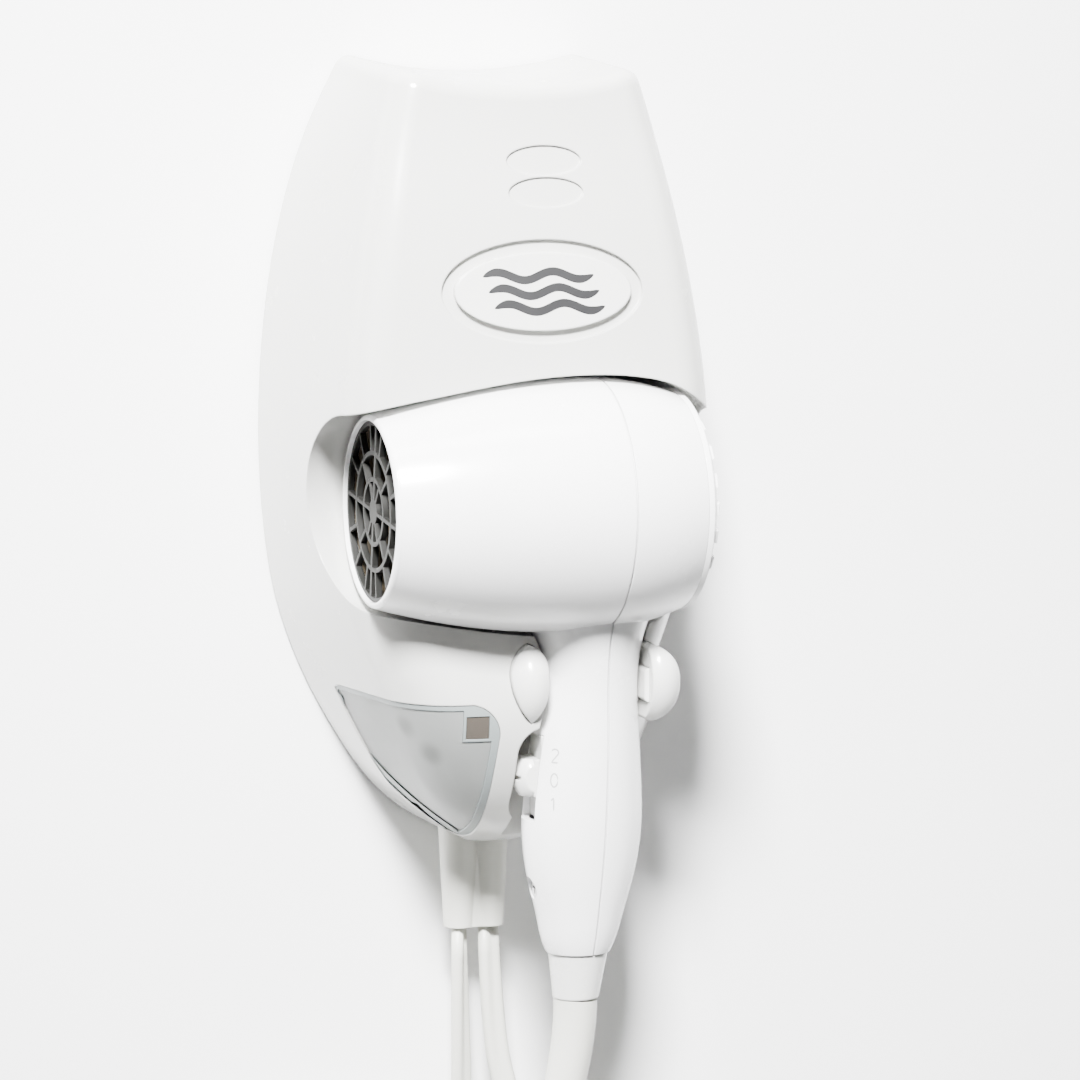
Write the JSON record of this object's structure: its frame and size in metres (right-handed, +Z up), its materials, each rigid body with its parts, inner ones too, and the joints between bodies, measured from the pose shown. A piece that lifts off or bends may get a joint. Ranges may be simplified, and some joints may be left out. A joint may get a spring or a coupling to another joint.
{
  "type": "wall-mounted hair dryer",
  "caption": "Wall-mounted hair dryer: a shield-shaped wall unit with a hood, night light and cradle, and a hand dryer that hangs in the cradle nozzle to the left.",
  "frame": {"origin": "middle of the wall bracket's four screw holes, in the plane of the wall", "axes": "+X right along the wall seen from the room, +Y into the wall, +Z up"},
  "size_m": [0.212, 0.0998, 0.4757],
  "materials": {
    "housing_white": "gloss",
    "dryer_white": "gloss",
    "trim_white": "satin",
    "cord_white": "satin",
    "plug_white": "satin",
    "button_black": "matte",
    "button_red": "matte",
    "tie_black": "matte",
    "grille_dark": "satin",
    "lens_frosted": "satin",
    "window_smoked": "gloss",
    "bezel_grey": "satin",
    "plastic_grey": "matte",
    "plastic_black": "matte",
    "steel": "satin",
    "brass": "satin",
    "mica": "satin",
    "heater_wire": "satin",
    "board_green": "satin",
    "led_clear": "gloss",
    "photocell_red": "satin"
  },
  "bodies": {
    "wall_unit": {"wall_bracket": "steel", "back_plate": "plastic_grey", "housing_screws": "steel", "front_housing": "housing_white", "badge_plate": "trim_white", "cradle_fork": "trim_white", "plunger_spring": "steel", "dock_microswitch": "plastic_black", "lens_bezel": "bezel_grey", "night_light_lens": "lens_frosted", "sensor_window": "window_smoked", "led_board": "board_green", "leds": "led_clear", "photocell": "photocell_red", "led_resistors": "board_green", "cable_boot": "cord_white", "terminal_block": "plastic_black", "terminal_screws": "steel", "cord_clamp": "plastic_grey", "clamp_screws": "steel", "power_cord": "cord_white", "power_cord_tail": "cord_white", "handle_cord_lower": "cord_white", "power_cord_coil": "cord_white", "handle_cord_coil": "cord_white", "power_cord_tie": "tie_black", "handle_cord_tie": "tie_black", "plug_body": "plug_white", "plug_blades": "brass"},
    "plunger": {"dock_plunger": "trim_white"},
    "reset": {"reset_button": "button_red"},
    "test": {"test_button": "button_black"},
    "dryer": {"dryer_front_shell": "dryer_white", "dryer_rear_shell": "dryer_white", "handle_screws": "steel", "nozzle_grille": "grille_dark", "intake_grille": "dryer_white", "lint_screen": "steel", "heater_sleeve": "mica", "heater_boards": "mica", "heating_coils": "heater_wire", "thermal_cutout": "steel", "fan_duct": "plastic_grey", "motor": "steel", "switch_body": "trim_white", "strain_collar": "trim_white", "cord_sleeve": "cord_white", "handle_cord_clamp": "plastic_grey", "handle_cord_upper": "cord_white"},
    "fan": {"motor_shaft": "steel", "fan_impeller": "plastic_grey"},
    "knob": {"switch_knob": "trim_white"}
  },
  "joints": [
    {"name": "dryer_removal", "type": "slide", "parent": "wall_unit", "child": "dryer", "axis": [0, -1, 0], "range_m": [0, 0.08]},
    {"name": "fan_spin", "type": "hinge", "parent": "dryer", "child": "fan", "pos_m": [0.03, -0.062, -0.0125], "axis": [1, 0, 0], "continuous": true},
    {"name": "switch_slide", "type": "slide", "parent": "dryer", "child": "knob", "axis": [0, 0, 1], "range_m": [-0.0068, 0.0068]},
    {"name": "dock_plunger_press", "type": "slide", "parent": "wall_unit", "child": "plunger", "axis": [1, 0, 0], "range_m": [0, 0.0024], "stiffness_N_per_m": 300, "deforming": ["plunger_spring"]},
    {"name": "reset_press", "type": "slide", "parent": "wall_unit", "child": "reset", "axis": [0, 1, 0], "range_m": [0, 0.001], "stiffness_N_per_m": 500},
    {"name": "test_press", "type": "slide", "parent": "wall_unit", "child": "test", "axis": [0, 1, 0], "range_m": [0, 0.001], "stiffness_N_per_m": 500}
  ]
}
